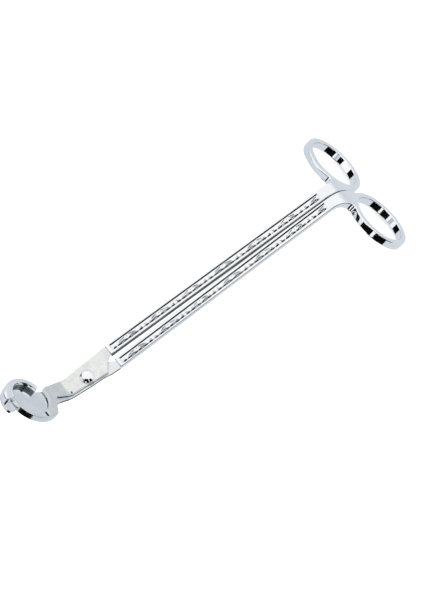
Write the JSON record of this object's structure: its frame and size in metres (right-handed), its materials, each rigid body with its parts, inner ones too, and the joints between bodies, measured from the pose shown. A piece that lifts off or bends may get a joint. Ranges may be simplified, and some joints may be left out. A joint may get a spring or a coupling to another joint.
{
  "type": "wick trimmer",
  "caption": "Long scissor-action candle wick trimmer with an angled round tray and hooked blade, patterned straight handle bars and finger rings bent down from the handles.",
  "frame": {"origin": "on the pivot axis, at the centre of the flat end of the rivet's tail", "axes": "+X back along the closed handles to the finger rings, +Y towards the upper lever's finger ring, +Z along the pivot axis out of the rivet's domed head"},
  "size_m": [0.1754, 0.0566, 0.0517],
  "materials": {
    "polished_steel": "mirror polished",
    "satin_steel": "fine satin",
    "rivet_steel": "bright polished",
    "washer_steel": "plain"
  },
  "bodies": {
    "hook_lever": {"hook_blade": "satin_steel", "upper_handle": "polished_steel", "pivot_rivet": "rivet_steel", "rear_washer": "washer_steel", "spacer_washer": "washer_steel"},
    "tray_lever": {"tray_plate": "satin_steel", "tray_guard": "polished_steel", "lower_handle": "polished_steel"}
  },
  "joints": [
    {"name": "pivot", "type": "hinge", "parent": "hook_lever", "child": "tray_lever", "pos_m": [0, 0, 0], "axis": [0, 0, -1], "range_deg": [0, 30]}
  ]
}
